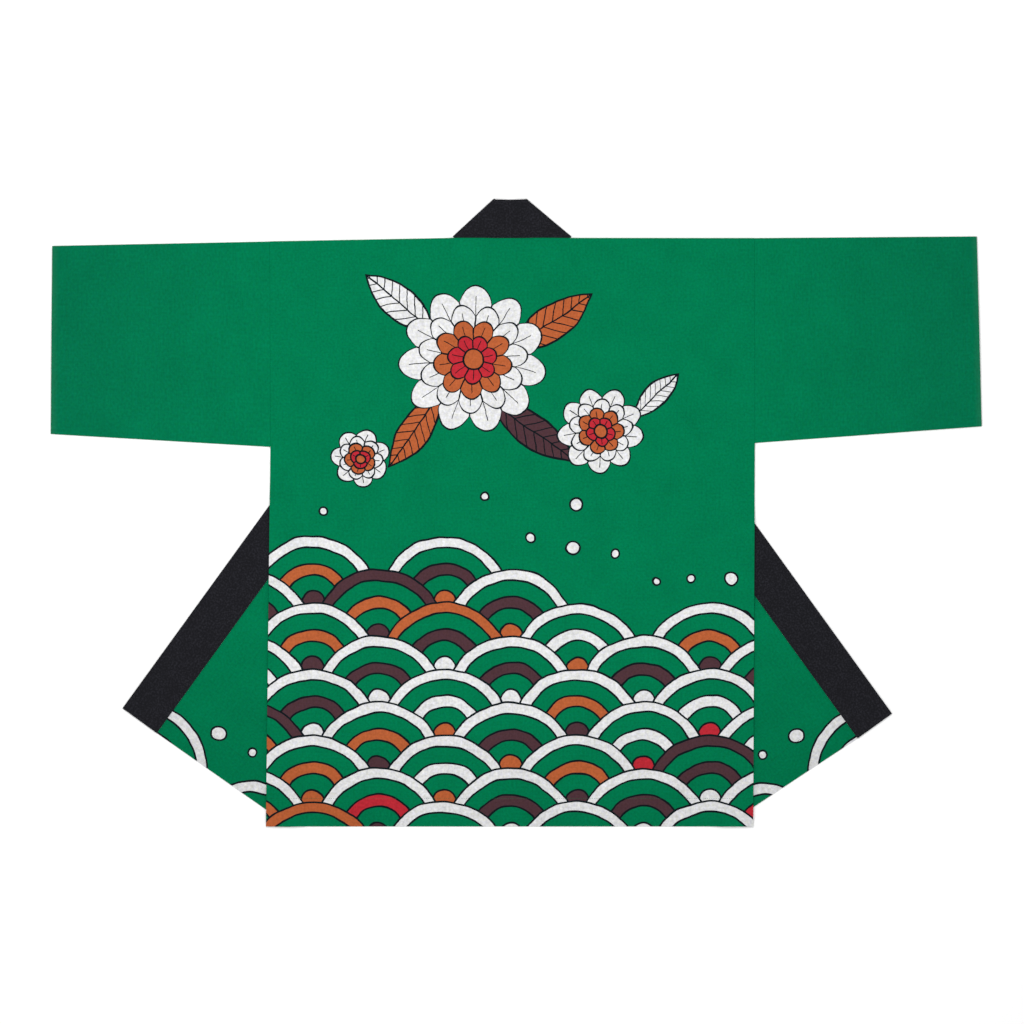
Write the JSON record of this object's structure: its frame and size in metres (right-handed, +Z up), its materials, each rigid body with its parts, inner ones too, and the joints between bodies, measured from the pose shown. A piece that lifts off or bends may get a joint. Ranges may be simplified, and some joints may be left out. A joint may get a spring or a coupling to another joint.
{
  "type": "happi coat",
  "caption": "Straight cotton happi coat laid flat, back upwards, with open-cuffed sleeves spread, fronts folded outwards under the back and a black collar band, printed green cotton",
  "frame": {"origin": "centre of the bounding box on the surface that the coat lies on", "axes": "+X from the left cuff to the right cuff as seen from above, +Y from the hem to the collar, +Z up out of the coat's back"},
  "size_m": [1.2656, 0.8535, 0.0078],
  "materials": {
    "body_cloth": "plain-weave printed cotton, matt",
    "collar_cloth": "plain-weave black cotton, matt"
  },
  "bodies": {
    "root": {"back": "body_cloth", "front_left": "body_cloth", "front_right": "body_cloth", "sleeve_left": "body_cloth", "sleeve_right": "body_cloth", "collar_neck": "collar_cloth", "collar_left": "collar_cloth", "collar_right": "collar_cloth"}
  },
  "joints": []
}
